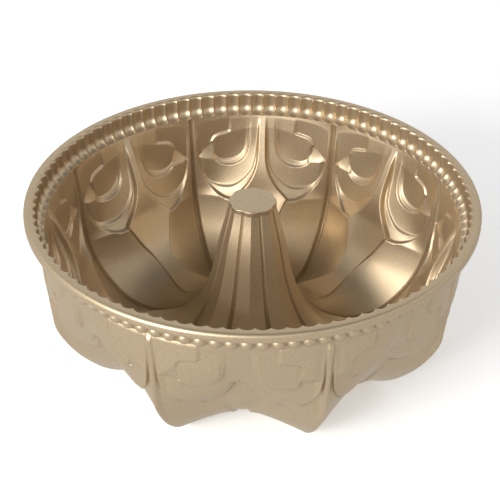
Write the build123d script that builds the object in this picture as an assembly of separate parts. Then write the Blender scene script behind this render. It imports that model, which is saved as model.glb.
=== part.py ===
"""Fluted tube cake pan, one metal casting, modelled as its named zones.

The pan has eight equal sectors.  Each sector is centred on a drape panel, a raised
spoke that runs from under the pearl row, down the wall and in to the centre tube.
Between two panels lies a deep lobe, which folds to a sharp crease on its outer side;
under that crease is a foot.  Inside a thick rim the mouth has 96 flutes, and each flute
ends in a round pearl that shows as a bump on the outside.

Millimetres, +Z up.  The origin is on the table, on the axis of the centre tube.
Depths are measured down from the top of the rim.
"""
from build123d import *
import os
from math import cos, radians, sin

# ---- driving dimensions -------------------------------------------------------------
HEIGHT = 107.5            # feet to the top of the rim
SECTORS = 8               # drape panels, lobes, feet and tube folds
PEARLS = 96               # flutes round the mouth, each with a pearl at its foot
WALL = 3.0                # wall of the casting
PANEL_STEP = 1.2          # how far a drape panel stands in from the lobes

RIM_RADIUS = 131.0        # outside of the rim
RIM_DEPTH = 6.0           # height of the rim's outer band
RIM_ROUND = 1.6           # rounding of the rim's outer corners
COLLAR_RADIUS = 127.4     # outside of the collar, which the rim wraps
COLLAR_DEPTH = 8.0        # length of a flute
CUSP_RADIUS = 123.4       # where two flutes meet
FLUTE_RADIUS = 125.2      # bottom of a flute

PEARL_BAND_DEPTH = 13.4   # bottom of the pearl row
BUMP_DEPTH = 10.6         # middle of the bumps behind the pearls
BUMP_RADIUS = 4.1         # ball that shapes a bump
BUMP_CENTRE_RADIUS = 122.8

CAP_DEPTH = 2.5           # top of the cap that closes the centre tube
CAP_THICKNESS = 3.0
CAP_RADIUS = 13.9         # cap and tube top, at the crest of a fold
CAP_NOTCH_RADIUS = 12.9   # cap and tube top, in the groove between two folds
TUBE_TOP_DEPTH = CAP_DEPTH + CAP_THICKNESS

# The inner face, from the pearl row down the wall, across the floor and up the tube.
# Each station gives the panel's radius and depth, the crease's radius and depth, and
# half the panel's angle in degrees.
STATIONS = (
    (120.0, PEARL_BAND_DEPTH, 120.2, PEARL_BAND_DEPTH, 0.8),
    (113.0, 30.0, 118.4, 30.0, 1.0),
    (106.6, 45.0, 117.3, 45.0, 1.8),
    (103.0, 57.0, 116.0, 58.0, 5.3),
    (100.4, 64.0, 114.6, 67.0, 9.6),
    (94.5, 75.0, 109.0, 80.5, 6.8),
    (87.7, 83.4, 100.0, 92.0, 4.4),
    (78.0, 90.2, 87.0, 102.0, 3.7),
    (66.4, 92.6, 71.0, 105.5, 6.1),
    (54.5, 92.0, 58.0, 103.0, 10.0),
    (46.0, 88.5, 47.0, 96.0, 10.0),
    (39.0, 82.0, 38.5, 87.0, 8.5),
    (33.0, 74.0, 32.0, 76.5, 7.0),
    (26.5, 60.0, 25.0, 60.0, 5.5),
    (22.0, 43.0, 20.7, 43.0, 4.0),
    (18.3, 24.0, 17.0, 24.0, 3.0),
    (CAP_RADIUS, TUBE_TOP_DEPTH, CAP_NOTCH_RADIUS, TUBE_TOP_DEPTH, 3.0),
)
TUBE_FOOT = 10                     # the station where the bowl ends and the tube begins
TUBE_FOOT_SLOPE = (-0.78, -0.62)   # direction of the inner face at that station

# How a lobe's section runs from panel to crease: 1 is straight, and more is flat at
# the panel and steep at the crease.
LOBE_POWER_TOP = 1.0
LOBE_POWER_FLOOR = 1.7
FACET_START = 0.3         # how far up the tube its folds become flat facets

# ---- derived values -----------------------------------------------------------------
SECTOR_ANGLE = 360.0 / SECTORS
CREASE_ANGLE = SECTOR_ANGLE / 2
PEARL_ANGLE = 360.0 / PEARLS
PROFILE_SAMPLES = 31
HALF_LOBE_SAMPLES = 7
HALF_FOLD_SAMPLES = 7
PANEL_SAMPLES = 5


def level(depth):
    """The height of a depth below the rim's top."""
    return HEIGHT - depth


def polar(radius, angle, depth):
    """The point at a radius and an angle in degrees, at a depth below the rim."""
    turn = radians(angle)
    return Vector(radius * cos(turn), radius * sin(turn), level(depth))


# ---- the sculpted face --------------------------------------------------------------
def profile(points, first_slope, last_slope):
    """A smooth meridian curve through (radius, depth) points, one parameter step each."""
    steps = [i / (len(points) - 1) for i in range(len(points))]
    slopes = [Vector(*first_slope, 0), Vector(*last_slope, 0)]
    return Edge.make_spline([Vector(r, d, 0) for r, d in points], slopes, parameters=steps)


def on_profile(curve, fraction, offset=0.0):
    """Radius and depth on a profile, moved square to it, away from the cake."""
    place = curve.position_at(fraction, position_mode=PositionMode.PARAMETER)
    along = curve.tangent_at(fraction, position_mode=PositionMode.PARAMETER)
    return place.X + along.Y * offset, place.Y - along.X * offset


def between(values, fraction):
    """Straight-line value at a fraction of the way through a list."""
    place = fraction * (len(values) - 1)
    low = min(int(place), len(values) - 2)
    return values[low] + (values[low + 1] - values[low]) * (place - low)


class Run:
    """A stretch of the sculpted face: two meridian profiles and the section between."""

    def __init__(self, stations, first_slope, last_slope, powers):
        self.ridge = profile([s[0:2] for s in stations], first_slope, last_slope)
        self.crease = profile([s[2:4] for s in stations], first_slope, last_slope)
        self.half_angles = [s[4] for s in stations]
        self.powers = powers

    def edge(self, fraction):
        """Half the angle of the ridge, which is the drape panel or a fold's crest."""
        return between(self.half_angles, fraction)

    def point(self, fraction, angle, offset):
        """A point of the face at an angle from the ridge, moved out by an offset."""
        ridge_radius, ridge_depth = on_profile(self.ridge, fraction, offset)
        crease_radius, crease_depth = on_profile(self.crease, fraction, offset)
        edge = self.edge(fraction)
        across = max(0.0, (abs(angle) - edge) / (CREASE_ANGLE - edge))
        weight = across ** between(self.powers, fraction)
        radius = ridge_radius + (crease_radius - ridge_radius) * weight
        depth = ridge_depth + (crease_depth - ridge_depth) * weight
        return polar(radius, angle, depth)


BOWL = Run(STATIONS[:TUBE_FOOT + 1], (0, 1), TUBE_FOOT_SLOPE, (LOBE_POWER_TOP, LOBE_POWER_FLOOR))
TUBE = Run(STATIONS[TUBE_FOOT:], TUBE_FOOT_SLOPE, (0, -1), (LOBE_POWER_FLOOR, LOBE_POWER_FLOOR))


def lobe_point(fraction, across, outside):
    """Half a lobe: across runs from 0 at the panel's edge to 1 at the crease."""
    edge = BOWL.edge(fraction)
    angle = edge + (CREASE_ANGLE - edge) * across
    return BOWL.point(fraction, angle, WALL if outside else 0.0)


def panel_point(fraction, across, outside):
    """A drape panel: across runs from -1 to 1 between its edges."""
    offset = (WALL if outside else 0.0) - PANEL_STEP
    return BOWL.point(fraction, across * BOWL.edge(fraction), offset)


def fold_point(fraction, across, outside):
    """Half a fold of the tube: across runs from 0 in the groove to 1 at the crest."""
    offset = WALL if outside else 0.0
    groove = TUBE.point(fraction, CREASE_ANGLE, offset)
    crest = TUBE.point(fraction, 0, offset)
    facet = groove + (crest - groove) * across
    rounded = TUBE.point(fraction, CREASE_ANGLE * (1 - across), offset)
    return rounded + (facet - rounded) * min(1.0, fraction / FACET_START)


def skin(point, first, last, samples, outside):
    """A smooth face through point(fraction, across), for across from first to last."""
    rows = []
    for i in range(PROFILE_SAMPLES):
        fraction = i / (PROFILE_SAMPLES - 1)
        steps = [first + (last - first) * j / (samples - 1) for j in range(samples)]
        rows.append([point(fraction, across, outside) for across in steps])
    return Face.make_surface_from_array_of_points(rows)


def edge_joining(face, start, end):
    """The edge of a face that runs between two of its corners."""
    def miss(edge):
        first, last = edge.position_at(0), edge.position_at(1)
        ahead = (first - start).length + (last - end).length
        back = (first - end).length + (last - start).length
        return min(ahead, back)
    return min(face.edges(), key=miss)


def wall_between(inner, outer, point, start, end):
    """The ruled face that joins two skins along one side, from corner to corner."""
    edges = []
    for face, outside in ((inner, False), (outer, True)):
        corners = [point(fraction, across, outside) for fraction, across in (start, end)]
        edges.append(edge_joining(face, *corners))
    return Face.make_surface_from_curves(edges[0], edges[1])


def make_mirrored(point, samples, mirror_angle):
    """A solid of two halves.  The first ends, at across = 1, on the mirror's plane."""
    inner = skin(point, 0, 1, samples, False)
    outer = skin(point, 0, 1, samples, True)
    half = [
        inner,
        outer,
        wall_between(inner, outer, point, (0, 0), (0, 1)),
        wall_between(inner, outer, point, (1, 0), (1, 1)),
        wall_between(inner, outer, point, (0, 0), (1, 0)),
    ]
    mirror_plane = Plane.XZ.rotated((0, 0, mirror_angle))
    return Solid(Shell(half + [face.mirror(mirror_plane) for face in half]))


def make_lobe():
    """A lobe, mirrored at its crease and worn flat where it stands on the table."""
    below_table = Pos(0, 0, -HEIGHT / 2) * Box(3 * RIM_RADIUS, 3 * RIM_RADIUS, HEIGHT)
    return make_mirrored(lobe_point, HALF_LOBE_SAMPLES, CREASE_ANGLE) - below_table


def make_fold():
    """A fold of the tube, mirrored at its crest."""
    return make_mirrored(fold_point, HALF_FOLD_SAMPLES, 0)


def make_panel():
    """A drape panel, with a wall along each of its four sides."""
    inner = skin(panel_point, -1, 1, PANEL_SAMPLES, False)
    outer = skin(panel_point, -1, 1, PANEL_SAMPLES, True)
    corners = [(0, -1), (0, 1), (1, 1), (1, -1)]
    faces = [inner, outer]
    for start, end in zip(corners, corners[1:] + corners[:1]):
        faces.append(wall_between(inner, outer, panel_point, start, end))
    return Solid(Shell(faces))


# ---- the mouth ----------------------------------------------------------------------
def ring(inner_radius, outer_radius, top_depth, bottom_depth):
    """A plain ring between two depths."""
    height = bottom_depth - top_depth
    middle = level((top_depth + bottom_depth) / 2)
    return Pos(0, 0, middle) * (Cylinder(outer_radius, height) - Cylinder(inner_radius, height))


def scalloped_face(cusp_radius, arc_radius, count, depth):
    """A flat face with a scalloped outline: arcs of one radius, cusps of another."""
    step = 360.0 / count
    arcs = []
    for i in range(count):
        start = polar(cusp_radius, i * step, depth)
        middle = polar(arc_radius, (i + 0.5) * step, depth)
        arcs.append(Edge.make_three_point_arc(start, middle, polar(cusp_radius, (i + 1) * step, depth)))
    return Face(Wire(arcs))


def make_rim_band():
    """The thick outer band of the rim, with rounded outer corners."""
    band = ring(COLLAR_RADIUS, RIM_RADIUS, 0, RIM_DEPTH)
    corners = band.edges().filter_by(lambda edge: edge.length > 2 * 3.14 * RIM_RADIUS)
    return fillet(corners, RIM_ROUND)


def make_fluted_collar():
    """The ring of flutes round the mouth."""
    opening = scalloped_face(CUSP_RADIUS, FLUTE_RADIUS, PEARLS, COLLAR_DEPTH)
    return ring(CUSP_RADIUS - 1, COLLAR_RADIUS, 0, COLLAR_DEPTH) - extrude(opening, COLLAR_DEPTH, (0, 0, 1))


def balls(radius, centre_radius, depth):
    """One ball at the middle of each flute."""
    centres = [polar(centre_radius, (i + 0.5) * PEARL_ANGLE, depth) for i in range(PEARLS)]
    return [Pos(centre) * Sphere(radius) for centre in centres]


def flute_arc_radius():
    """Radius of the arc across a flute, from its width and its depth."""
    half_width = CUSP_RADIUS * sin(radians(PEARL_ANGLE / 2))
    rise = FLUTE_RADIUS - CUSP_RADIUS * cos(radians(PEARL_ANGLE / 2))
    return (half_width ** 2 + rise ** 2) / (2 * rise)


def make_pearl_band():
    """The ring that holds the pearls, which are the round ends of the flutes."""
    foot_radius = STATIONS[0][0]
    wall_radius = foot_radius + WALL
    section = Face(Wire.make_polygon([
        (foot_radius, 0, level(COLLAR_DEPTH)),
        (COLLAR_RADIUS, 0, level(COLLAR_DEPTH)),
        (wall_radius, 0, level(PEARL_BAND_DEPTH)),
        (foot_radius, 0, level(PEARL_BAND_DEPTH)),
    ]))
    cone = revolve(section, Axis.Z)
    arc = flute_arc_radius()
    beside_cone = ring(foot_radius, RIM_RADIUS, COLLAR_DEPTH, PEARL_BAND_DEPTH)
    bumps = [ball & beside_cone for ball in balls(BUMP_RADIUS, BUMP_CENTRE_RADIUS, BUMP_DEPTH)]
    return cone.fuse(*bumps).cut(*balls(arc, FLUTE_RADIUS - arc, COLLAR_DEPTH))


def make_tube_cap():
    """The flat lid of the centre tube, notched over each groove."""
    outline = scalloped_face(CAP_NOTCH_RADIUS, CAP_RADIUS, SECTORS, TUBE_TOP_DEPTH)
    turned = Rot(0, 0, CREASE_ANGLE) * outline
    return extrude(turned, CAP_THICKNESS, (0, 0, 1))


# ---- the parts ----------------------------------------------------------------------
def make_parts():
    """Every node's name and solid."""
    parts = {
        "rim_band": make_rim_band(),
        "fluted_collar": make_fluted_collar(),
        "pearl_band": make_pearl_band(),
        "tube_cap": make_tube_cap(),
    }
    repeated = {
        "wall_lobe": make_lobe(),
        "drape_panel": make_panel(),
        "tube_fold": make_fold(),
    }
    for name, shape in repeated.items():
        for i in range(SECTORS):
            parts[f"{name}_{i + 1}"] = Rot(0, 0, i * SECTOR_ANGLE) * shape
    return parts


os.makedirs("parts", exist_ok=True)
for node, shape in make_parts().items():
    export_step(shape, f"parts/{node}.step")
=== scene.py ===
"""Fluted tube cake pan: the sculpted casting, its coating, and the studio round it.

Each CAD node is one zone of the casting.  Each is replaced by a finer mesh of the same
zone, with the swags, scrolls, flutes and pearls that the CAD solid leaves out.

Shapes are worked out in millimetres and degrees, and become metres when a mesh is made.
A depth is measured down from the top of the rim.  An angle is measured from the middle
of a drape panel, and the crease of a lobe is half a sector away from it.
"""
import math

import bpy
import numpy as np
from mathutils import Matrix, Vector


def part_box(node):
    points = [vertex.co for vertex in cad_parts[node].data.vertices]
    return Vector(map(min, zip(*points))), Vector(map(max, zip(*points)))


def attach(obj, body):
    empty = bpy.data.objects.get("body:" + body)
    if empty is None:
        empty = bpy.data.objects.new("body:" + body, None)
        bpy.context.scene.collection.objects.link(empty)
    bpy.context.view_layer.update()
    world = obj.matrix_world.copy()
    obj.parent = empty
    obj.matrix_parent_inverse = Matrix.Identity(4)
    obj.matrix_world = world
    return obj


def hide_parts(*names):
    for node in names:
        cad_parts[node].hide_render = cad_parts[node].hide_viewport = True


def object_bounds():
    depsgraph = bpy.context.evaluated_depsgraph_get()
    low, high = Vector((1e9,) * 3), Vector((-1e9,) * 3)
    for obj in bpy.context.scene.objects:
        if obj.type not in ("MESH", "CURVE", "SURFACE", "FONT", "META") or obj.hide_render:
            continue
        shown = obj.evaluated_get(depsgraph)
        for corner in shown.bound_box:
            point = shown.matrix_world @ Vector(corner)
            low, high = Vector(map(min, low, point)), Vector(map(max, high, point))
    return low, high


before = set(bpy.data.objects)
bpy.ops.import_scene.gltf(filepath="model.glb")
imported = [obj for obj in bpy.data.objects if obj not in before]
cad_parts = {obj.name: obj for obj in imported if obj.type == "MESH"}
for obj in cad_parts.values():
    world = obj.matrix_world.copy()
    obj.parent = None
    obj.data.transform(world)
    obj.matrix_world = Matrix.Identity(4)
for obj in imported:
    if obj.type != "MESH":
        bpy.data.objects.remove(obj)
cad_low, cad_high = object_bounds()

MM = 0.001


def depth_of(height):
    """The depth in millimetres of a height in metres."""
    return (cad_high.z - height) / MM


# ---- sizes from the frame ---------------------------------------------------------------
HEIGHT = cad_high.z / MM
RIM_RADIUS = -cad_low.x / MM
RIM_DEPTH = depth_of(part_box("rim_band")[0].z)
COLLAR_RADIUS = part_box("fluted_collar")[1].x / MM
COLLAR_DEPTH = depth_of(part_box("fluted_collar")[0].z)
PEARL_BAND_DEPTH = depth_of(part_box("pearl_band")[0].z)
CAP_DEPTH = depth_of(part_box("tube_cap")[1].z)
TUBE_TOP_DEPTH = depth_of(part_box("tube_cap")[0].z)
SECTORS = sum(name.startswith("wall_lobe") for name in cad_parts)
SECTOR_ANGLE = 360.0 / SECTORS
CREASE_ANGLE = SECTOR_ANGLE / 2

# ---- the casting ------------------------------------------------------------------------
PEARLS = 96
PEARL_ANGLE = 360.0 / PEARLS
WALL = 3.0
FOOT_WALL = 1.0           # what is left of it under the groove in a foot
CUSP_RADIUS = 123.4       # where two flutes meet
FLUTE_RADIUS = 125.2      # bottom of a flute
BUMP_RADIUS = 4.1         # the ball behind each pearl
BUMP_DEPTH = 10.6
BUMP_CENTRE_RADIUS = 122.8
NECK_RADIUS = 126.3       # outside of the casting just under the rim
CAP_RADIUS = 13.9
CAP_NOTCH_RADIUS = 12.9
RIM_ROUND = 2.3           # outer corners of the rim
LIP_ROUND = 1.7           # where the flutes run out into the flat top

# The inner face, down the wall, across the floor and up the tube.  Each station gives the
# panel's radius and depth, the crease's radius and depth, and half the panel's angle.
STATIONS = np.array([
    (120.0, PEARL_BAND_DEPTH, 120.2, PEARL_BAND_DEPTH, 0.8),
    (113.0, 30.0, 118.4, 30.0, 1.0),
    (106.6, 45.0, 117.3, 45.0, 1.8),
    (103.0, 57.0, 116.0, 58.0, 5.3),
    (100.4, 64.0, 114.6, 67.0, 9.6),
    (94.5, 75.0, 109.0, 80.5, 6.8),
    (87.7, 83.4, 100.0, 92.0, 4.4),
    (78.0, 90.2, 87.0, 102.0, 3.7),
    (66.4, 92.6, 71.0, 105.5, 6.1),
    (54.5, 92.0, 58.0, 103.0, 10.0),
    (46.0, 88.5, 47.0, 96.0, 10.0),
    (39.0, 82.0, 38.5, 87.0, 8.5),
    (33.0, 74.0, 32.0, 76.5, 7.0),
    (26.5, 60.0, 25.0, 60.0, 5.5),
    (22.0, 43.0, 20.7, 43.0, 4.0),
    (18.3, 24.0, 17.0, 24.0, 3.0),
    (CAP_RADIUS, TUBE_TOP_DEPTH, CAP_NOTCH_RADIUS, TUBE_TOP_DEPTH, 3.0),
])
PANEL_CORNER = 4          # the station where the swags end and a panel is widest
TUBE_FOOT = 10            # the station where the bowl ends and the tube begins
SECTION_POWER = (1.0, 1.7)  # a lobe's section: straight at the top, hollow at the floor
FIRST_SLOPE = ((-6.9, 16.6), (-0.6, 16.6))  # panel and crease, per station, at the pearls
LAST_SLOPE = ((-3.0, -18.0), (-3.0, -18.0))  # panel and crease, per station, at the cap

# ---- the relief cut into the wall -------------------------------------------------------
# Outlines of half a sector's terraces, as (angle, depth).  Each is closed above the
# pearl row and past the crease, where nothing shows.
HEM = (
    (0.8, 5), (0.8, 20), (1.0, 31), (1.7, 44), (3.1, 51), (5.2, 57.5), (7.4, 61.6),
    (9.6, 64.4), (12.6, 65.2), (15.4, 63.2), (17.6, 59.6), (19.2, 54.4), (20.2, 48.6),
    (20.7, 41), (20.9, 30), (21.0, 5),
)
HEM_BAND = (
    (1.5, 5), (1.5, 20), (1.7, 31), (2.4, 41), (3.5, 47.4), (6.0, 53), (9.2, 57.8),
    (12.4, 59.4), (15.6, 59.2), (17.9, 56.9), (19.5, 52), (20.4, 46), (20.8, 38), (20.9, 5),
)
SCROLL = (
    (3.9, 5), (3.9, 22), (4.4, 34), (6.0, 40.6), (8.6, 44.2), (10.8, 45.4), (13.2, 45.2),
    (15.2, 43.2), (16.2, 40), (17.6, 38.6), (21.1, 40.8), (24, 41), (24, 5),
)
SCROLL_BAND = (
    (4.9, 5), (4.9, 23), (5.4, 34.6), (6.9, 39.2), (9.4, 42.2), (12.4, 43.4), (14.7, 41.6),
    (15.8, 38.4), (17.2, 37.6), (21.1, 40.7), (24, 41), (24, 5),
)
HOOK = (
    (10.4, 5), (10.4, 22.6), (10.5, 23.4), (10.9, 23.8), (15.0, 25.6), (16.2, 29),
    (16.9, 34.4), (21.1, 40.6), (24, 41), (24, 5),
)
THORN = ((16.1, 30.5), (21.2, 40.9), (15.2, 42.4))   # a facet that points at the crease

# How far each terrace lies outside the plain wall, where there is room for it.
HEM_BAND_RECESS = 2.2
SWAG_RECESS = 3.4
SCROLL_BAND_RECESS = 5.0
SCROLL_RECESS = 6.0
HOOK_RISE = 1.3           # the hook's floor lies this much outside the scroll's
STEP_WIDTH = 1.1          # a step's width across the wall
WALL_TOP_RADIUS = 120.1   # the steepest wall that still lets the cake slide out
WALL_DRAFT = 0.035
PANEL_STEP = 1.2          # a drape panel stands in from the lobes
GROOVE_DEPTH = 1.9        # the fold line of a crease
GROOVE_HALF_WIDTH = 1.9
GROOVE_RADII = (14.0, 45.0, 60.0, 110.0)   # it is widest where the tube meets the floor
GROOVE_SHARES = (0.5, 1.4, 1.25, 1.0)
OUTER_STEP_WIDTH = 1.2    # the back of the wall echoes the relief, a little wider
OUTER_SPREAD = 1.0
OUTER_ROOM = 1.0          # the back may stand further out than the draft allows inside
STEM_ANGLE = 3.0          # the back has no channel behind a panel's narrow stem
STEM_DEPTH = 48.0
RIDGE_HEIGHT = 2.0        # the ridge down the outside of a crease
RIDGE_TOP_WIDTH = 1.0     # half the width of its flat top
RIDGE_SLOPE_WIDTH = 1.8   # and of its side
MM_PER_DEGREE = math.radians(114.0)   # across the wall, at the swags


# ---- small tools ------------------------------------------------------------------------
def smooth(value):
    """0 below 0, 1 above 1, and an even S between."""
    value = np.clip(value, 0.0, 1.0)
    return value * value * (3.0 - 2.0 * value)


def soft_min(first, second, blend):
    """The smaller of two values, rounded over where they cross."""
    return 0.5 * (first + second - np.sqrt((first - second) ** 2 + blend * blend))


def soft_max(first, second, blend):
    return -soft_min(-first, -second, blend)


def station_spline(points, first, last, places):
    """A smooth curve through the points, one per unit of place, with its direction."""
    count = len(points)
    system = np.zeros((count, count))
    target = np.zeros((count, 2))
    system[0, 0] = 1.0
    system[-1, -1] = 1.0
    target[0] = first
    target[-1] = last
    for i in range(1, count - 1):
        system[i, i - 1:i + 2] = (1.0, 4.0, 1.0)
        target[i] = 3.0 * (points[i + 1] - points[i - 1])
    slopes = np.linalg.solve(system, target)
    low = np.clip(places.astype(int), 0, count - 2)
    t = (places - low)[:, None]
    start, end = points[low], points[low + 1]
    leave, arrive = slopes[low], slopes[low + 1]
    curve = start + t * leave + t * t * (3 * (end - start) - 2 * leave - arrive)
    curve = curve + t ** 3 * (2 * (start - end) + leave + arrive)
    along = leave + 2 * t * (3 * (end - start) - 2 * leave - arrive)
    along = along + 3 * t * t * (2 * (start - end) + leave + arrive)
    length = np.linalg.norm(along, axis=1)[:, None]
    return curve, along / np.maximum(length, 1e-9)


def rounded_outline(corners, rounds):
    """An (angle, depth) outline in millimetres of wall, with its corners cut round."""
    points = np.array(corners, float) * (MM_PER_DEGREE, 1.0)
    for _ in range(rounds):
        ahead = np.roll(points, -1, axis=0)
        points = np.stack([0.75 * points + 0.25 * ahead, 0.25 * points + 0.75 * ahead], 1)
        points = points.reshape(-1, 2)
    return points


def distance_to_line(x, y, start, end):
    """Distance from grid points to one straight piece of line."""
    run = end - start
    share = ((x - start[0]) * run[0] + (y - start[1]) * run[1]) / max(run @ run, 1e-9)
    share = np.clip(share, 0.0, 1.0)
    return np.hypot(x - start[0] - share * run[0], y - start[1] - share * run[1])


def inside_distance(x, y, corners, rounds=3):
    """Distance in from an outline: positive inside it and negative outside."""
    points = rounded_outline(corners, rounds)
    nearest = np.full(x.shape, 1e9)
    inside = np.zeros(x.shape, bool)
    for start, end in zip(points, np.roll(points, -1, axis=0)):
        nearest = np.minimum(nearest, distance_to_line(x, y, start, end))
        crosses = (start[1] > y) != (end[1] > y)
        rise = end[1] - start[1] or 1e-9
        inside ^= crosses & (x < start[0] + (y - start[1]) * (end[0] - start[0]) / rise)
    return np.where(inside, nearest, -nearest)


# ---- the sculpted face ------------------------------------------------------------------
def panel_edge(places):
    """Half a panel's angle: two smooth runs that meet at the panel's corner."""
    upper, lower = STATIONS[:PANEL_CORNER + 1, 4], STATIONS[PANEL_CORNER:, 4]
    runs = []
    for angles, first, last, start in ((upper, 0.0, 5.0, 0), (lower, -3.5, 0.0, PANEL_CORNER)):
        points = np.stack([angles, angles], 1)
        local = np.clip(places - start, 0.0, len(angles) - 1.0)
        runs.append(station_spline(points, (first, first), (last, last), local)[0][:, 0])
    return np.where(places <= PANEL_CORNER, runs[0], runs[1])


def facet_radius(angle, ridge, groove_radius):
    """Radius of a flat facet that runs from a ridge to a groove."""
    over = np.radians(angle)
    left = np.radians(CREASE_ANGLE - angle)
    ahead = ridge * np.sin(over)
    behind = groove_radius * np.sin(left)
    share = ahead / (ahead + behind)
    return ridge * np.cos(over) * (1 - share) + groove_radius * np.cos(left) * share


class Face:
    """The plain face of the casting on a grid: rows down a meridian, columns round."""

    def __init__(self, places, angles):
        """places has one station number per row; angles is rows by columns."""
        panel, panel_along = station_spline(
            STATIONS[:, 0:2], FIRST_SLOPE[0], LAST_SLOPE[0], places)
        crease, crease_along = station_spline(
            STATIONS[:, 2:4], FIRST_SLOPE[1], LAST_SLOPE[1], places)
        power = np.interp(places, (0, TUBE_FOOT), SECTION_POWER)[:, None]
        self.angle = np.abs(angles)
        self.turn = angles
        self.edge = panel_edge(places)[:, None]
        across = np.clip((self.angle - self.edge) / (CREASE_ANGLE - self.edge), 0.0, 1.0)
        weight = (across ** power)[:, :, None]
        self.base = panel[:, None] + (crease - panel)[:, None] * weight
        on_tube = smooth((places - TUBE_FOOT + 1.5) / 3.0)[:, None]
        facet = facet_radius(self.angle, panel[:, :1], crease[:, :1])
        self.base[:, :, 0] += (facet - self.base[:, :, 0]) * on_tube
        panel_out = np.stack([panel_along[:, 1], -panel_along[:, 0]], 1)
        crease_out = np.stack([crease_along[:, 1], -crease_along[:, 0]], 1)
        self.out = panel_out[:, None] + (crease_out - panel_out)[:, None] * weight
        # The wall starts level, on the pearl band.
        self.out[:, :, 1] *= smooth(places / 0.4)[:, None]
        self.radius = self.base[:, :, 0]
        self.depth = self.base[:, :, 1]
        self.side = np.radians(self.angle - self.edge) * self.radius
        self.place = np.broadcast_to(places[:, None], angles.shape)

    def points(self, offset):
        """The face moved away from the cake by an offset, as x, y, z."""
        moved = self.base + self.out * offset[:, :, None]
        turn = np.radians(self.turn)
        x = moved[:, :, 0] * np.cos(turn)
        y = moved[:, :, 0] * np.sin(turn)
        return np.stack([x, y, HEIGHT - moved[:, :, 1]], 2)


def room_outside(face, extra_room):
    """How far the wall could stand further out and still let the cake slide out."""
    below = face.depth - PEARL_BAND_DEPTH
    room = WALL_TOP_RADIUS - WALL_DRAFT * below - face.radius
    room = room + extra_room * smooth(below / 3.0)
    return np.maximum(room / np.maximum(face.out[:, :, 0], 0.5), 0.0)


def thorn_facet(x, y, swag, hook):
    """The thorn, which slopes between the floors of the swag and the hook."""
    root, tip, heel = np.array(THORN) * (MM_PER_DEGREE, 1.0)
    top = distance_to_line(x, y, root, tip)
    foot = distance_to_line(x, y, heel, tip)
    return swag + (hook - swag) * foot / np.maximum(foot + top, 1e-6)


def terraces(face, width, spread, extra_room, hidden_stem):
    """How far the swags and scrolls lie outside the plain wall, for steps of one width.

    Nearer a panel's middle than hidden_stem degrees, the relief stays as it is there.
    """
    x = np.maximum(face.angle, hidden_stem) * MM_PER_DEGREE
    y = face.depth

    def within(outline):
        return smooth((inside_distance(x, y, outline) + spread) / width + 0.5)

    room = room_outside(face, extra_room)
    near_crease = smooth((face.angle - 18.8) / 2.6)
    hook_rise = np.minimum(HOOK_RISE, 0.45 * room) * (1.0 - near_crease)
    scroll = np.maximum(soft_min(SCROLL_RECESS, room - hook_rise, 2.5), 0.0)
    hook = np.maximum(soft_min(SCROLL_RECESS + hook_rise, room, 2.5), 0.0)
    recess = within(HEM) * scroll * HEM_BAND_RECESS / SCROLL_RECESS
    for outline, low, high in (
        (HEM_BAND, HEM_BAND_RECESS, SWAG_RECESS),
        (SCROLL, SWAG_RECESS, SCROLL_BAND_RECESS),
        (SCROLL_BAND, SCROLL_BAND_RECESS, SCROLL_RECESS),
    ):
        recess = recess + within(outline) * scroll * (high - low) / SCROLL_RECESS
    recess = recess + within(HOOK) * (hook - scroll)
    recess = recess + (within(HEM) * scroll - recess) * near_crease
    thorn = thorn_facet(x, y, scroll * SWAG_RECESS / SCROLL_RECESS, hook)
    on_thorn = smooth(inside_distance(x, y, THORN, 0) / width + 0.5)
    recess = recess + (thorn - recess) * on_thorn * (1.0 - near_crease)
    return recess * (face.place < TUBE_FOOT)


def inner_offset(face):
    """The cake's side of the wall: relief, drape panels and crease grooves."""
    recess = terraces(face, STEP_WIDTH, 0.0, 0.0, 0.0)
    on_lobe = smooth(face.side / STEP_WIDTH)
    fade = smooth((face.depth - PEARL_BAND_DEPTH) / 12.0)
    fade = fade * smooth((TUBE_FOOT + 1.0 - face.place) / 2.0)
    panel = -PANEL_STEP * fade * (1.0 - on_lobe)
    return recess * on_lobe + panel + groove(face, GROOVE_HALF_WIDTH, GROOVE_DEPTH)


def groove(face, half_width, depth):
    """The fold line that runs down each crease and up between two folds of the tube."""
    gap = np.radians(CREASE_ANGLE - face.angle) * face.radius
    share = np.interp(face.radius, GROOVE_RADII, GROOVE_SHARES)
    return depth * share * (1.0 - smooth(gap / (half_width * share)))


def outer_offset(face):
    """The back of the wall, which echoes the relief and has a ridge behind each crease."""
    hidden_stem = STEM_ANGLE * smooth((STEM_DEPTH - face.depth) / 8.0)
    recess = terraces(face, OUTER_STEP_WIDTH, OUTER_SPREAD, OUTER_ROOM, hidden_stem)
    fade = smooth((face.depth - 34.0) / 14.0) * smooth((TUBE_FOOT - face.place) / 1.5)
    channel = PANEL_STEP * 1.4 * fade * (1.0 - smooth((face.side + 3.0) / 1.8))
    gap = np.radians(CREASE_ANGLE - face.angle) * face.radius
    ridge = RIDGE_HEIGHT * (1.0 - smooth((gap - RIDGE_TOP_WIDTH) / RIDGE_SLOPE_WIDTH))
    ridge = ridge * smooth((86.0 - face.depth) / 26.0) * (face.place < TUBE_FOOT)
    ridge = ridge * smooth((face.depth - PEARL_BAND_DEPTH) / 5.0)
    return WALL + recess - channel + ridge


# ---- meshes -----------------------------------------------------------------------------
def spin(points, angle):
    """Points turned round the tube's axis."""
    turn = math.radians(angle)
    matrix = np.array([
        [math.cos(turn), math.sin(turn), 0.0],
        [-math.sin(turn), math.cos(turn), 0.0],
        [0.0, 0.0, 1.0],
    ])
    return points @ matrix


def grid_normals(points):
    """Normals of a grid of points whose rows go down and whose columns go round."""
    down = np.gradient(points, axis=0)
    right = np.gradient(points, axis=1)
    normal = np.cross(down, right)
    length = np.linalg.norm(normal, axis=2)[:, :, None]
    return normal / np.maximum(length, 1e-9)


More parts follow.
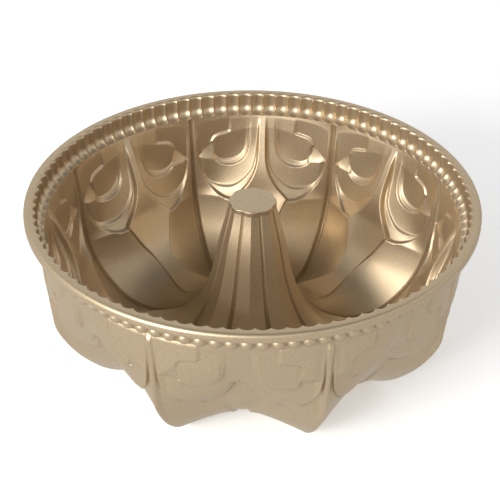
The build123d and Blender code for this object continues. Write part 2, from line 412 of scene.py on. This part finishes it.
def grid_faces(rows, columns, start, closed, flip):
    """Four-sided faces of a grid; closed joins the last column to the first."""
    index = start + np.arange(rows * columns).reshape(rows, columns)
    ahead = np.roll(index, -1, axis=1)
    if not closed:
        index, ahead = index[:, :-1], ahead[:, :-1]
    corners = [index[:-1], ahead[:-1], ahead[1:], index[1:]]
    if flip:
        corners.reverse()
    return np.stack(corners, 2).reshape(-1, 4)


def shell(inner, outer, closed):
    """Vertices and faces of a closed piece between two grids of the same size."""
    rows, columns = inner.shape[:2]
    size = rows * columns
    faces = [
        grid_faces(rows, columns, 0, closed, False),
        grid_faces(rows, columns, size, closed, True),
    ]
    index = np.arange(size).reshape(rows, columns)
    rims = [(index[0], True), (index[-1], False)]
    if not closed:
        rims += [(index[:, 0], False), (index[:, -1], True)]
    for line, flip in rims:
        ahead = np.roll(line, -1)
        if not closed or len(line) != columns:
            line, ahead = line[:-1], ahead[:-1]
        corners = [line, ahead, ahead + size, line + size]
        if flip:
            corners.reverse()
        faces.append(np.stack(corners, 1))
    return np.concatenate([inner.reshape(-1, 3), outer.reshape(-1, 3)]), np.concatenate(faces)


def make_piece(name, node, inner, outer, normals, closed=False):
    """One zone of the casting, as a closed mesh that stands for its CAD node."""
    points, faces = shell(inner, outer, closed)
    mesh = bpy.data.meshes.new(name)
    mesh.vertices.add(len(points))
    mesh.vertices.foreach_set("co", (points * MM).ravel())
    mesh.loops.add(faces.size)
    mesh.loops.foreach_set("vertex_index", faces.ravel().astype(np.int32))
    mesh.polygons.add(len(faces))
    mesh.polygons.foreach_set("loop_start", np.arange(0, faces.size, 4, dtype=np.int32))
    mesh.update(calc_edges=True)
    mesh.validate()
    mesh.polygons.foreach_set("use_smooth", np.ones(len(mesh.polygons), bool))
    mesh.normals_split_custom_set_from_vertices(normals.reshape(-1, 3).tolist())
    piece = bpy.data.objects.new(name, mesh)
    bpy.context.scene.collection.objects.link(piece)
    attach(piece, "root")
    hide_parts(node)
    mesh.materials.append(coating)
    return piece


# ---- the coating ------------------------------------------------------------------------
def make_coating():
    """Satin champagne metal with a fine sparkle."""
    material = bpy.data.materials.new("casting")
    material.use_nodes = True
    nodes = material.node_tree.nodes
    links = material.node_tree.links
    shader = nodes["Principled BSDF"]
    shader.inputs["Metallic"].default_value = 0.9
    place = nodes.new("ShaderNodeTexCoord")
    grain = nodes.new("ShaderNodeTexNoise")
    grain.inputs["Scale"].default_value = 1500.0
    grain.inputs["Detail"].default_value = 2.0
    links.new(place.outputs["Object"], grain.inputs["Vector"])
    tone = nodes.new("ShaderNodeValToRGB")
    tone.color_ramp.elements[0].position = 0.3
    tone.color_ramp.elements[0].color = (0.47, 0.368, 0.243, 1.0)
    tone.color_ramp.elements[1].position = 0.7
    tone.color_ramp.elements[1].color = (0.59, 0.462, 0.305, 1.0)
    links.new(grain.outputs["Fac"], tone.inputs["Fac"])
    links.new(tone.outputs["Color"], shader.inputs["Base Color"])
    gloss = nodes.new("ShaderNodeMapRange")
    gloss.inputs["To Min"].default_value = 0.39
    gloss.inputs["To Max"].default_value = 0.50
    links.new(grain.outputs["Fac"], gloss.inputs["Value"])
    links.new(gloss.outputs["Result"], shader.inputs["Roughness"])
    bump = nodes.new("ShaderNodeBump")
    bump.inputs["Strength"].default_value = 0.12
    bump.inputs["Distance"].default_value = 0.0002
    links.new(grain.outputs["Fac"], bump.inputs["Height"])
    links.new(bump.outputs["Normal"], shader.inputs["Normal"])
    return material


coating = make_coating()

# ---- the sculpted zones -----------------------------------------------------------------
BOWL_TOP_ROWS = 90        # rows down the relief, to the corner of the panel
BOWL_FLOOR_ROWS = 56
TUBE_ROWS = 56
PANEL_COLUMNS = 6         # columns in half a panel
LOBE_COLUMNS = 76         # columns in half a lobe
BUNCHING = 0.4            # how much closer they are at the panel and at the crease


def sector_grid(places):
    """Angles of half a sector's columns, row by row: the panel, then the lobe."""
    edge = panel_edge(places)[:, None]
    panel = np.linspace(0.0, 1.0, PANEL_COLUMNS + 1)[None, :-1] * edge
    steps = np.linspace(0.0, 1.0, LOBE_COLUMNS + 1)[None]
    steps = steps - BUNCHING * np.sin(2 * math.pi * steps) / (2 * math.pi)
    return np.concatenate([panel, edge + (CREASE_ANGLE - edge) * steps], 1)


def even_places(first, last, count):
    """Station numbers from first to last, at even steps along the panel's profile."""
    fine = np.linspace(first, last, 60 * count)
    curve = station_spline(STATIONS[:, 0:2], FIRST_SLOPE[0], LAST_SLOPE[0], fine)[0]
    length = np.concatenate([[0.0], np.cumsum(np.linalg.norm(np.diff(curve, axis=0), axis=1))])
    return np.interp(np.linspace(0.0, length[-1], count + 1), length, fine)


def whole_sector(places):
    """Inner and outer points and normals from one crease to the next."""
    half = sector_grid(places)
    angles = np.concatenate([-half[:, :0:-1], half], 1)
    overlap = angles[:, 1:2] - angles[:, 0:1]
    padded = np.concatenate([angles[:, 0:1] - overlap, angles, angles[:, -1:] + overlap], 1)
    folded = np.where(padded > CREASE_ANGLE, SECTOR_ANGLE - padded, padded)
    folded = np.where(folded < -CREASE_ANGLE, -SECTOR_ANGLE - folded, folded)
    face = Face(places, folded)
    face.turn = padded
    inner = face.points(inner_offset(face))
    outer = face.points(outer_offset(face))
    inner[:, :, 2] = soft_max(inner[:, :, 2], FOOT_WALL, 0.6)
    outer[:, :, 2] = soft_max(outer[:, :, 2], 0.0, 0.6)
    inner_normals = -grid_normals(inner)
    outer_normals = grid_normals(outer)
    return [block[:, 1:-1] for block in (inner, outer, inner_normals, outer_normals)]


def join_sectors(block, first, last):
    """The columns of a lobe: the end of one sector and the start of the next."""
    left = block[:, first:]
    right = spin(block[:, :last], SECTOR_ANGLE)
    return np.concatenate([left, right[:, 1:]], 1)


def make_sculpted_zones():
    """The wall lobes, the drape panels and the folds of the tube."""
    top = even_places(0, PANEL_CORNER, BOWL_TOP_ROWS)
    floor = even_places(PANEL_CORNER, TUBE_FOOT, BOWL_FLOOR_ROWS)[1:]
    tube = even_places(TUBE_FOOT, len(STATIONS) - 1, TUBE_ROWS)[1:]
    bowl_rows = BOWL_TOP_ROWS + BOWL_FLOOR_ROWS + 1
    blocks = whole_sector(np.concatenate([top, floor, tube]))
    middle = PANEL_COLUMNS + LOBE_COLUMNS
    first, last = middle - PANEL_COLUMNS, middle + PANEL_COLUMNS
    zones = {
        "wall_lobe": [join_sectors(b[:bowl_rows], last, first + 1) for b in blocks],
        "drape_panel": [b[:bowl_rows, first:last + 1] for b in blocks],
        "tube_fold": [b[bowl_rows - 1:] for b in blocks],
    }
    for name, (inner, outer, inner_normals, outer_normals) in zones.items():
        normals = np.stack([inner_normals, outer_normals])
        for i in range(SECTORS):
            angle = i * SECTOR_ANGLE
            make_piece(
                f"{name}_{i + 1}_skin", f"{name}_{i + 1}",
                spin(inner, angle), spin(outer, angle), spin(normals, angle))


# ---- the mouth --------------------------------------------------------------------------
def flute_arc():
    """Radius of the arc across a flute, and how far its centre is from the axis."""
    half_chord = CUSP_RADIUS * math.sin(math.radians(PEARL_ANGLE / 2))
    rise = FLUTE_RADIUS - CUSP_RADIUS * math.cos(math.radians(PEARL_ANGLE / 2))
    arc = (half_chord ** 2 + rise ** 2) / (2 * rise)
    return arc, FLUTE_RADIUS - arc


def ball_radius(angle, drop, centre, ball):
    """The far side of a ball in each flute, as a radius from the axis; 0 off the ball."""
    aside = np.radians((angle % PEARL_ANGLE) - PEARL_ANGLE / 2)
    reach = ball ** 2 - drop ** 2 - (centre * np.sin(aside)) ** 2
    return np.where(reach > 0, centre * np.cos(aside) + np.sqrt(np.maximum(reach, 0)), 0.0)


def ring_points(radius, angle, depth):
    """Points from radius, angle and depth grids."""
    turn = np.radians(angle)
    return np.stack([radius * np.cos(turn), radius * np.sin(turn), HEIGHT - depth], 2)


def mouth_angles(count):
    """Columns all round the mouth, closer together at the cusps."""
    steps = np.linspace(-1.0, 1.0, count + 1)[:-1]
    cell = 0.5 + 0.5 * np.sin(steps * math.pi / 2) * 0.6 + 0.2 * steps
    return (np.arange(PEARLS)[:, None] * PEARL_ANGLE + cell[None] * PEARL_ANGLE).ravel()


def ring_normals(points):
    """Normals of a ring of points that closes on itself."""
    padded = np.concatenate([points[:, -1:], points, points[:, :1]], 1)
    return grid_normals(padded)[:, 1:-1]


def mouth_back(angle, depth):
    """Radius of the outside below the rim: a plain slope, with a bump behind each pearl."""
    wall_radius = STATIONS[0, 0] + WALL + 0.2
    slope = np.interp(depth, (RIM_DEPTH, PEARL_BAND_DEPTH), (NECK_RADIUS, wall_radius))
    bump = ball_radius(angle, depth - BUMP_DEPTH, BUMP_CENTRE_RADIUS, BUMP_RADIUS)
    return soft_max(slope, bump, 0.4)


def make_collar():
    """The flutes, which round over into the flat top and run down to the pearls."""
    turn = mouth_angles(12)[None]
    arc, centre = flute_arc()
    flute = ball_radius(turn, 0.0, centre, arc)
    corner = np.radians(np.linspace(90.0, 0.0, 8))[:, None]
    lip = np.minimum(flute + LIP_ROUND * (1 - np.cos(corner)), COLLAR_RADIUS)
    wall_depth = np.linspace(LIP_ROUND, COLLAR_DEPTH, 7)[1:, None]
    radius = np.concatenate([COLLAR_RADIUS + 0 * flute, lip, flute + 0 * wall_depth])
    depth = np.concatenate([[[0.0]], LIP_ROUND * (1 - np.sin(corner)), wall_depth]) + 0 * turn
    inner = ring_points(radius, turn + 0 * depth, depth)
    back = np.where(depth < RIM_DEPTH, COLLAR_RADIUS, mouth_back(turn, depth))
    outer = ring_points(back, turn + 0 * depth, depth)
    normals = np.stack([-ring_normals(inner), ring_normals(outer)])
    make_piece("fluted_collar_skin", "fluted_collar", inner, outer, normals, True)


def make_pearl_band():
    """The pearls, which are the round ends of the flutes, and the bumps behind them."""
    turn = mouth_angles(16)[None]
    share = np.sin(np.linspace(0.0, math.pi / 2, 24))[:, None]
    depth = COLLAR_DEPTH + (PEARL_BAND_DEPTH - COLLAR_DEPTH) * share
    angle = turn + 0 * depth
    arc, centre = flute_arc()
    pearl = ball_radius(angle, depth - COLLAR_DEPTH, centre, arc)
    radius = soft_max(STATIONS[0, 0] + 0.3 * (1 - share), pearl, 0.6)
    back_depth = COLLAR_DEPTH + (BUMP_DEPTH + BUMP_RADIUS - COLLAR_DEPTH) * share
    inner = ring_points(radius, angle, depth + 0 * turn)
    outer = ring_points(mouth_back(angle, back_depth), angle, back_depth + 0 * turn)
    normals = np.stack([-ring_normals(inner), ring_normals(outer)])
    make_piece("pearl_band_skin", "pearl_band", inner, outer, normals, True)


def make_rim():
    """The thick outer band: flat on top, rounded at its outer corners."""
    turn = np.linspace(0.0, 360.0, 961)[:-1]
    corner = np.radians(np.linspace(90.0, 0.0, 8))
    top_radius = RIM_RADIUS - RIM_ROUND * (1 - np.cos(corner))
    top = np.stack([top_radius, RIM_ROUND * (1 - np.sin(corner))], 1)
    foot = top[::-1] * (1, -1) + (0, RIM_DEPTH)
    section = np.concatenate([[(COLLAR_RADIUS, 0.0)], top, foot, [(COLLAR_RADIUS, RIM_DEPTH)]])
    radius = section[:, :1] + 0 * turn[None]
    depth = section[:, 1:] + 0 * turn[None]
    angle = turn[None] + 0 * depth
    outer = ring_points(radius, angle, depth)
    inner = ring_points(COLLAR_RADIUS + 0 * radius, angle, depth)
    normals = np.stack([-ring_normals(inner), ring_normals(outer)])
    make_piece("rim_band_skin", "rim_band", inner, outer, normals, True)


def make_cap():
    """The flat lid of the centre tube, notched over each groove."""
    turn = np.linspace(0.0, 360.0, 321)[:-1][None]
    notch = np.abs((turn + CREASE_ANGLE) % SECTOR_ANGLE - CREASE_ANGLE) / CREASE_ANGLE
    outline = CAP_RADIUS + (CAP_NOTCH_RADIUS - CAP_RADIUS) * notch ** 2
    corner = np.radians(np.linspace(90.0, 0.0, 5))
    set_back = np.concatenate([[1.0], 0.6 * (1 - np.cos(corner)) / outline.mean(), [0.0]])
    depth = np.concatenate([[0.0], 0.6 * (1 - np.sin(corner)), [TUBE_TOP_DEPTH - CAP_DEPTH]])
    depth = CAP_DEPTH + depth[:, None] + 0 * turn
    radius = outline * (1 - np.minimum(set_back, 0.98))[:, None]
    angle = turn + 0 * depth
    top = ring_points(radius, angle, depth)
    under = ring_points(radius * 0.9, angle, TUBE_TOP_DEPTH + 0 * depth)
    normals = np.stack([-ring_normals(under), ring_normals(top)])
    make_piece("tube_cap_skin", "tube_cap", under, top, normals, True)


make_sculpted_zones()
make_collar()
make_pearl_band()
make_rim()
make_cap()


# ---- studio -----------------------------------------------------------------------------
def make_floor():
    """A plain pale floor, seen by the camera.  The studio lights the pan from below."""
    bpy.ops.mesh.primitive_plane_add(size=12.0, location=(0, 0, 0))
    floor = bpy.context.object
    floor.name = "floor"
    material = bpy.data.materials.new("floor")
    material.use_nodes = True
    shader = material.node_tree.nodes["Principled BSDF"]
    shader.inputs["Base Color"].default_value = (0.9, 0.9, 0.9, 1.0)
    shader.inputs["Roughness"].default_value = 0.9
    shader.inputs["Emission Color"].default_value = (1.0, 1.0, 1.0, 1.0)
    shader.inputs["Emission Strength"].default_value = 0.3
    floor.data.materials.append(material)
    floor.visible_diffuse = False
    floor.visible_glossy = False


def make_light(name, place, size, power):
    """A soft square light that points at the pan."""
    light = bpy.data.lights.new(name, "AREA")
    light.size = size
    light.energy = power
    lamp = bpy.data.objects.new(name, light)
    lamp.location = place
    aim = Vector((0, 0, 0.05)) - Vector(place)
    lamp.rotation_euler = aim.to_track_quat("-Z", "Y").to_euler()
    bpy.context.scene.collection.objects.link(lamp)


# The studio's brightness at each height: 0 is the horizon and below, and 1 is overhead.
SKY_STEPS = (
    (0.0, 0.78), (0.05, 0.5), (0.3, 0.6), (0.5, 1.3), (0.6, 1.2), (0.75, 0.4), (1.0, 0.15),
)


def make_world():
    """A plain studio that is brightest halfway up and dim straight above."""
    world = bpy.data.worlds.new("studio")
    world.use_nodes = True
    nodes = world.node_tree.nodes
    links = world.node_tree.links
    place = nodes.new("ShaderNodeTexCoord")
    split = nodes.new("ShaderNodeSeparateXYZ")
    ramp = nodes.new("ShaderNodeValToRGB")
    links.new(place.outputs["Generated"], split.inputs["Vector"])
    links.new(split.outputs["Z"], ramp.inputs["Fac"])
    links.new(ramp.outputs["Color"], nodes["Background"].inputs["Color"])
    for height, _ in SKY_STEPS[1:-1]:
        ramp.color_ramp.elements.new(height)
    for element, (_, level) in zip(ramp.color_ramp.elements, SKY_STEPS):
        element.color = (level, level, level, 1.0)
    bpy.context.scene.world = world


CAMERA_DISTANCE = 0.6973  # from the axis, along the ground
CAMERA_RISE = 0.4387      # above the rim
CAMERA_AZIMUTH = -87.07   # round the axis, from the middle of the first drape panel
CAMERA_PITCH = 0.5991     # down from the horizon, in radians
CAMERA_YAW = -0.0018
CAMERA_ROLL = 0.0091
CAMERA_LENS = 103.1


def make_camera():
    """The camera, level with the eye of someone standing over the pan."""
    turn = math.radians(CAMERA_AZIMUTH)
    camera = bpy.data.objects.new("camera", bpy.data.cameras.new("camera"))
    camera.data.lens = CAMERA_LENS
    spot = Vector((math.cos(turn), math.sin(turn), 0.0)) * CAMERA_DISTANCE
    spot.z = cad_high.z + CAMERA_RISE
    facing = turn + math.pi - CAMERA_YAW
    level = math.cos(CAMERA_PITCH)
    forward = Vector((math.cos(facing) * level, math.sin(facing) * level, -math.sin(CAMERA_PITCH)))
    right = Vector((math.sin(facing), -math.cos(facing), 0.0))
    up = right.cross(forward)
    tilted_right = right * math.cos(CAMERA_ROLL) + up * math.sin(CAMERA_ROLL)
    tilted_up = up * math.cos(CAMERA_ROLL) - right * math.sin(CAMERA_ROLL)
    axes = Matrix((tilted_right, tilted_up, -forward)).transposed().to_4x4()
    camera.matrix_world = Matrix.Translation(spot) @ axes
    bpy.context.scene.collection.objects.link(camera)
    bpy.context.scene.camera = camera


make_floor()
make_light("key", (-1.15, -1.35, 0.72), 0.8, 36.0)
make_light("sparkle", (-0.51, -1.32, 0.85), 0.25, 3.0)
make_world()
make_camera()
bpy.context.scene.view_settings.view_transform = "Standard"
